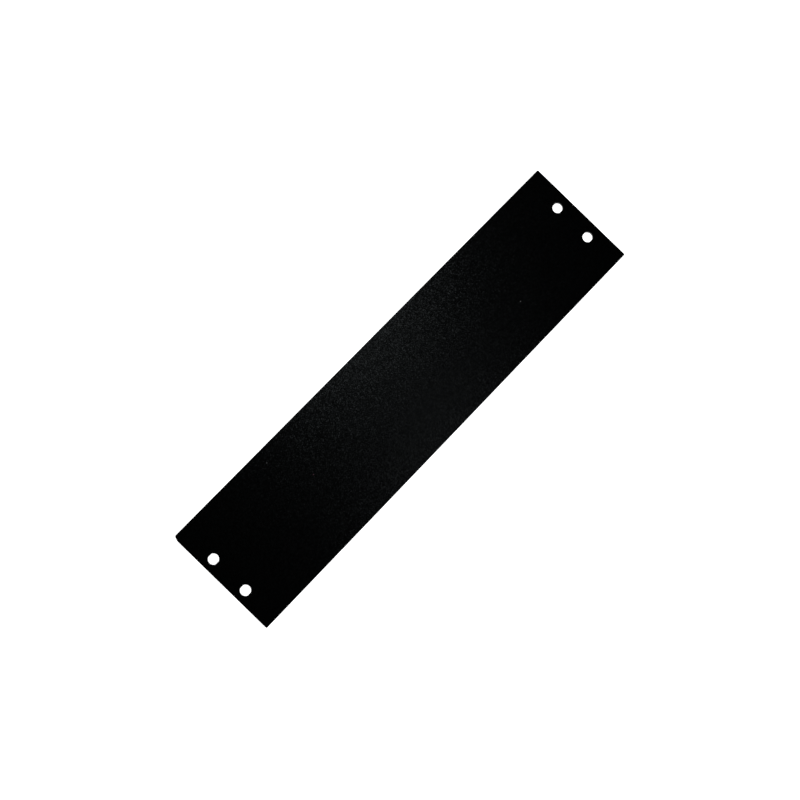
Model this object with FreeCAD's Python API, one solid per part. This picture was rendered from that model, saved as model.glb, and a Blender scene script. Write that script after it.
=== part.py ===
import FreeCAD, Part
import os

# Rack blanking panel: one flat sheet with a pair of screw holes near each end.
# All sizes are in millimetres and include the coating.
# X runs along the panel, Y across it, and Z out of its front face. The rear face lies at Z = 0.

# Outline of the sheet
panel_length = 221.45          # five rack units of 44.45, less 0.8 of slack
panel_width = 53.2             # one 53.975 space of the frame, less about the same slack
sheet_thickness = 1.2

# Corners, seen from the front: three are crisp, and the one at -X, +Y is knocked off aslant
crisp_corner_radius = 0.5
worn_corner_along = 0.8        # what is gone of the long edge there
worn_corner_across = 2.2       # what is gone of the short edge
worn_corner_side_radius = 0.8  # where the slant runs into the long edge
worn_corner_end_radius = 3.0   # where it runs into the short edge

# Screw holes: round, with two flats that run along the panel
hole_diameter = 4.6
hole_across_flats = 4.27
hole_to_right_end = 6.2        # from a hole's centre to the +X end of the panel
hole_to_left_end = 5.0         # and to the -X end
hole_pair_spacing = 18.3       # from centre to centre across the panel
hole_pair_offset = -0.45       # each pair sits this far off the middle of the width

# Edges: shearing and punching roll the front ones over, and the rear ones are only deburred
front_edge_radius = 0.3
rear_edge_radius = 0.15
front_rim_radius = 0.2         # around each hole
rear_rim_radius = 0.1

half_length = panel_length / 2
half_width = panel_width / 2


def flat_face(solid, height):
    """The solid's flat face at one height."""
    for face in solid.Faces:
        box = face.BoundBox
        if abs(box.ZMin - height) < 1e-6 and abs(box.ZMax - height) < 1e-6:
            return face


def round_upright(blank, x, y, radius):
    """Round the upright edge that stands at one place."""
    middle = FreeCAD.Vector(x, y, sheet_thickness / 2)
    upright = [edge for edge in blank.Edges if (edge.CenterOfMass - middle).Length < 1e-6]
    return blank.makeFillet(radius, upright)


def sheared_blank():
    """The sheet as it is sheared, with three crisp corners."""
    low_corner = FreeCAD.Vector(-half_length, -half_width, 0)
    blank = Part.makeBox(panel_length, panel_width, sheet_thickness, low_corner)
    for x, y in ((half_length, half_width), (half_length, -half_width), (-half_length, -half_width)):
        blank = round_upright(blank, x, y, crisp_corner_radius)
    return blank


def wear_corner(blank):
    """Take the slant off the corner at -X, +Y and blend it into both edges."""
    along = worn_corner_along
    across = worn_corner_across
    # a triangle that carries the slant on past both edges
    offsets = ((2 * along, across), (-along, -2 * across), (-along, across), (2 * along, across))
    points = [FreeCAD.Vector(x - half_length, y + half_width, -sheet_thickness) for x, y in offsets]
    lost = Part.Face(Part.makePolygon(points)).extrude(FreeCAD.Vector(0, 0, 3 * sheet_thickness))
    blank = blank.cut(lost)
    blank = round_upright(blank, along - half_length, half_width, worn_corner_side_radius)
    return round_upright(blank, -half_length, half_width - across, worn_corner_end_radius)


def hole_punch(x, y):
    """The punch for one hole: a bar with two flats that reaches past both faces."""
    length = 3 * sheet_thickness
    bar = Part.makeCylinder(hole_diameter / 2, length)
    # the cylinder's seam goes where a flat takes it off
    bar.rotate(FreeCAD.Vector(0, 0, 0), FreeCAD.Vector(0, 0, 1), 90)
    low_corner = FreeCAD.Vector(-hole_diameter, -hole_across_flats / 2, 0)
    punch = bar.common(Part.makeBox(2 * hole_diameter, hole_across_flats, length, low_corner))
    punch.translate(FreeCAD.Vector(x, y, -sheet_thickness))
    return punch


def punch_holes(blank):
    """Take the four screw holes out of the sheet."""
    for x in (hole_to_left_end - half_length, half_length - hole_to_right_end):
        for side in (-1, 1):
            y = hole_pair_offset + side * hole_pair_spacing / 2
            blank = blank.cut(hole_punch(x, y))
    return blank


def ease_outline(blank, height, radius):
    """Round the outer edge of the face at one height."""
    return blank.makeFillet(radius, flat_face(blank, height).OuterWire.Edges)


def ease_rims(panel, height, radius):
    """Round the rim of every hole in the face at one height."""
    face = flat_face(panel, height)
    rims = [wire for wire in face.Wires if not wire.isSame(face.OuterWire)]
    return panel.makeFillet(radius, [edge for rim in rims for edge in rim.Edges])


blank = sheared_blank()
blank = wear_corner(blank)
blank = ease_outline(blank, sheet_thickness, front_edge_radius)
blank = ease_outline(blank, 0, rear_edge_radius)
panel = punch_holes(blank)
panel = ease_rims(panel, sheet_thickness, front_rim_radius)
panel = ease_rims(panel, 0, rear_rim_radius)

os.makedirs("parts", exist_ok=True)
panel.exportStep("parts/blanking_panel.step")
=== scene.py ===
import math

import bpy
from mathutils import Matrix, Vector


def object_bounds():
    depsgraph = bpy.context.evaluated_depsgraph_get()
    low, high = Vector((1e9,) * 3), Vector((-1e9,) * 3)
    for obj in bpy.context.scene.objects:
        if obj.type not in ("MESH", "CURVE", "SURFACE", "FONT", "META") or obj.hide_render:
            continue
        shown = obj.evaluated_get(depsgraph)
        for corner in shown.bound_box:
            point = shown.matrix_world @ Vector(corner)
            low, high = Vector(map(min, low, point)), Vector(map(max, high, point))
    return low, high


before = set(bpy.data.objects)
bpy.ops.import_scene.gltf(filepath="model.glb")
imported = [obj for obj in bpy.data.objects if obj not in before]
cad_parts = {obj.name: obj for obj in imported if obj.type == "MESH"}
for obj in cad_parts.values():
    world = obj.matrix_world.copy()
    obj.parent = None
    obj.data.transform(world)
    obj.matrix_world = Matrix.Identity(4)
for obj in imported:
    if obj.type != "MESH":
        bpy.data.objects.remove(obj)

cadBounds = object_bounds()
mm = 0.001


def toLinear(hexColour):
    shades = [int(hexColour[i:i + 2], 16) / 255 for i in (1, 3, 5)]
    linear = [s / 12.92 if s <= 0.04045 else ((s + 0.055) / 1.055) ** 2.4 for s in shades]
    return (*linear, 1.0)


def addNode(tree, kind, settings=None, links=None):
    # settings go to the node or, by name or number, to its input sockets;
    # on a Mix node 0 is the share of the second, 2 and 3 are floats, 6 and 7 colours
    node = tree.nodes.new(kind)
    for name, value in (settings or {}).items():
        if isinstance(name, str) and hasattr(node, name):
            setattr(node, name, value)
        else:
            node.inputs[name].default_value = value
    for name, source in (links or {}).items():
        tree.links.new(source, node.inputs[name])
    return node


# the sheet itself comes from the frame, and its coat is made here
coat = {
    "crumbTop": "#010101",
    "crumbGap": "#000000",
    # one crumb of the powder, drawn coarser than the real 0.1 mm so that it shows
    "crumb": 0.34 * mm,
    "crumbTilt": 0.15,        # spread of the slopes at which the crumbs' tops lie
    "roughness": 0.275,
    "specular": 0.10,         # a dry, open surface gives back far less than a glossy one
    "ior": 1.5,
    "sheen": "#f0fbff",       # the sheen is a touch cooler than grey
}

# specks of dust that lie on the front face, each at its place along and across the panel
dust = {
    "solidTo": 0.175 * mm,    # full colour this far out from a speck's middle
    "goneBy": 0.325 * mm,     # bare coat from here on
    "specks": [
        {"spot": (62.5 * mm, -8.1 * mm), "colour": "#444444"},
        {"spot": (-62.7 * mm, 20.8 * mm), "colour": "#333334"},
        {"spot": (-52.7 * mm, 3.6 * mm), "colour": "#35222a"},
    ],
}


def withDust(tree, place, colour):
    # lays each speck over the colour of the coat
    frontFace = cadBounds[1][2]
    for speck in dust["specks"]:
        middle = (*speck["spot"], frontFace)
        away = addNode(tree, "ShaderNodeVectorMath", {"operation": "DISTANCE", 1: middle},
                       {0: place})
        inside = addNode(tree, "ShaderNodeMapRange",
                         {"From Min": dust["solidTo"], "From Max": dust["goneBy"],
                          "To Min": 1.0, "To Max": 0.0},
                         {"Value": away.outputs["Value"]})
        covered = addNode(tree, "ShaderNodeMix",
                          {"data_type": "RGBA", 7: toLinear(speck["colour"])},
                          {0: inside.outputs["Result"], 6: colour})
        colour = covered.outputs[2]
    return colour


def blackPowderCoat(name):
    # fine-texture black powder coat on sheet steel, sprayed dry and baked:
    # deep black with a soft satin sheen that breaks up into small crumbs
    material = bpy.data.materials.new(name)
    material.use_nodes = True
    tree = material.node_tree
    tree.nodes.clear()
    place = addNode(tree, "ShaderNodeTexCoord").outputs["Object"]
    crumbs = addNode(tree, "ShaderNodeTexVoronoi", {"Scale": 1 / coat["crumb"]},
                     {"Vector": place})
    black = addNode(tree, "ShaderNodeMix",
                    {"data_type": "RGBA",
                     6: toLinear(coat["crumbTop"]), 7: toLinear(coat["crumbGap"])},
                    {0: crumbs.outputs["Distance"]})
    # each crumb is a small facet that leans its own way
    spread = coat["crumbTilt"]
    lean = addNode(tree, "ShaderNodeVectorMath",
                   {"operation": "MULTIPLY_ADD", 1: (spread,) * 3, 2: (-spread / 2,) * 3},
                   {0: crumbs.outputs["Color"]})
    flat = addNode(tree, "ShaderNodeNewGeometry").outputs["Normal"]
    tilted = addNode(tree, "ShaderNodeVectorMath", {"operation": "ADD"},
                     {0: flat, 1: lean.outputs["Vector"]})
    facet = addNode(tree, "ShaderNodeVectorMath", {"operation": "NORMALIZE"},
                    {0: tilted.outputs["Vector"]})
    shader = addNode(tree, "ShaderNodeBsdfPrincipled",
                     {"Roughness": coat["roughness"], "Specular IOR Level": coat["specular"],
                      "IOR": coat["ior"], "Specular Tint": toLinear(coat["sheen"])},
                     {"Base Color": withDust(tree, place, black.outputs[2]),
                      "Normal": facet.outputs["Vector"]})
    addNode(tree, "ShaderNodeOutputMaterial", {}, {"Surface": shader.outputs["BSDF"]})
    return material


panel = bpy.data.objects["blanking_panel"]
panel.data.materials.clear()
panel.data.materials.append(blackPowderCoat("fine-texture black powder coat on sheet steel"))
print("panel coated")

# a pale sweep under the panel, and a room that is bright at eye level and dark overhead
stage = {
    "floor": "#ffffff",
    "floorSize": 6.0,         # metres
    "floorGlow": 0.75,        # added to the lit floor, as the lens sees it, to reach white
    "wallTop": 0.22,          # sine of the height at which the bright walls start to fade
    "ceilingFrom": 0.45,      # and of the height from which the dark ceiling is even
    "wallLevel": 0.9,
    "ceilingLevel": 0.01,
}


def paleFloor(name):
    # matt white paper sweep: keeps the panel's own shadow, white in the open
    material = bpy.data.materials.new(name)
    material.use_nodes = True
    tree = material.node_tree
    tree.nodes.clear()
    # 1 for what the lens sees, whether straight on, through glass or mirrored
    path = addNode(tree, "ShaderNodeLightPath")
    direct = addNode(tree, "ShaderNodeMath", {"operation": "MAXIMUM"},
                     {0: path.outputs["Is Camera Ray"], 1: path.outputs["Is Transmission Ray"]})
    seen = addNode(tree, "ShaderNodeMath", {"operation": "MAXIMUM"},
                   {0: direct.outputs[0], 1: path.outputs["Is Glossy Ray"]})
    glowShare = addNode(tree, "ShaderNodeMath", {"operation": "MULTIPLY", 1: stage["floorGlow"]},
                        {0: seen.outputs[0]})
    paper = addNode(tree, "ShaderNodeBsdfDiffuse", {"Color": toLinear(stage["floor"])})
    glow = addNode(tree, "ShaderNodeEmission", {"Color": toLinear(stage["floor"])},
                   {"Strength": glowShare.outputs[0]})
    both = addNode(tree, "ShaderNodeAddShader", {}, {0: paper.outputs[0], 1: glow.outputs[0]})
    addNode(tree, "ShaderNodeOutputMaterial", {}, {"Surface": both.outputs[0]})
    return material


floorMesh = bpy.data.meshes.new("floor")
half = stage["floorSize"] / 2
floorHeight = cadBounds[0][2]
floorMesh.from_pydata([(-half, -half, floorHeight), (half, -half, floorHeight),
                       (half, half, floorHeight), (-half, half, floorHeight)], [], [(0, 1, 2, 3)])
floor = bpy.data.objects.new("floor", floorMesh)
bpy.context.collection.objects.link(floor)
floorMesh.materials.append(paleFloor("matt white paper sweep"))

world = bpy.data.worlds.new("room")
bpy.context.scene.world = world
world.use_nodes = True
# an even room needs no aimed samples, so the lamps get them
world.cycles.sampling_method = "NONE"
room = world.node_tree
room.nodes.clear()
direction = addNode(room, "ShaderNodeTexCoord").outputs["Generated"]
height = addNode(room, "ShaderNodeSeparateXYZ", {}, {0: direction}).outputs["Z"]
wall = addNode(room, "ShaderNodeMapRange",
               {"interpolation_type": "SMOOTHSTEP", "From Min": stage["wallTop"],
                "From Max": stage["ceilingFrom"], "To Min": stage["wallLevel"],
                "To Max": stage["ceilingLevel"]},
               {"Value": height})
mirrored = addNode(room, "ShaderNodeLightPath").outputs["Is Glossy Ray"]
# only mirrored rays meet the walls and the ceiling, and the rest an even 1
level = addNode(room, "ShaderNodeMix", {"data_type": "FLOAT", 2: 1.0},
                {0: mirrored, 3: wall.outputs["Result"]})
air = addNode(room, "ShaderNodeBackground", {"Color": toLinear("#ffffff")},
              {"Strength": level.outputs[0]})
addNode(room, "ShaderNodeOutputWorld", {}, {"Surface": air.outputs[0]})


def aimed(place, aim, upTowards):
    # the turn that looks from place to aim, with upTowards as the top of the picture
    forward = (Vector(aim) - Vector(place)).normalized()
    up = Vector(upTowards)
    up = (up - up.dot(forward) * forward).normalized()
    right = forward.cross(up)
    return Matrix.Translation(place) @ Matrix((right, up, -forward)).transposed().to_4x4()


def softBox(name, settings):
    # an unturned area lamp faces straight down
    lamp = bpy.data.lights.new(name, "AREA")
    lamp.size = settings["size"]
    lamp.energy = settings["watts"]
    box = bpy.data.objects.new(name, lamp)
    box.location = settings["place"]
    bpy.context.collection.objects.link(box)


# small lamps, so that each crumb's glint stays round; places and sizes in metres
lamps = {
    "overheadRight": {"place": (0.074, -0.132, 0.60), "size": 0.04, "watts": 0.132},
    "overheadLeft": {"place": (0.102, 0.144, 0.60), "size": 0.04, "watts": 0.278},
}
for lampName, lampSettings in lamps.items():
    softBox(lampName, lampSettings)
print("stage lit")

# the camera stands nearly overhead, a little towards the -X end
view = {
    "place": (-62.8 * mm, -3.0 * mm, 419.8 * mm),
    "aim": (-4.76 * mm, -0.54 * mm, 0.0),
    "upTowards": 43.96,       # degrees from +X: the panel lies corner to corner in the frame
    "lens": 45.0,             # millimetres, as is the sensor's width
    "sensor": 36.0,
}
cameraData = bpy.data.cameras.new("camera")
cameraData.lens = view["lens"]
cameraData.sensor_width = view["sensor"]
camera = bpy.data.objects.new("camera", cameraData)
bpy.context.collection.objects.link(camera)
turn = math.radians(view["upTowards"])
camera.matrix_world = aimed(view["place"], view["aim"], (math.cos(turn), math.sin(turn), 0))
bpy.context.scene.camera = camera
bpy.context.scene.view_settings.view_transform = "Standard"
print("camera set")
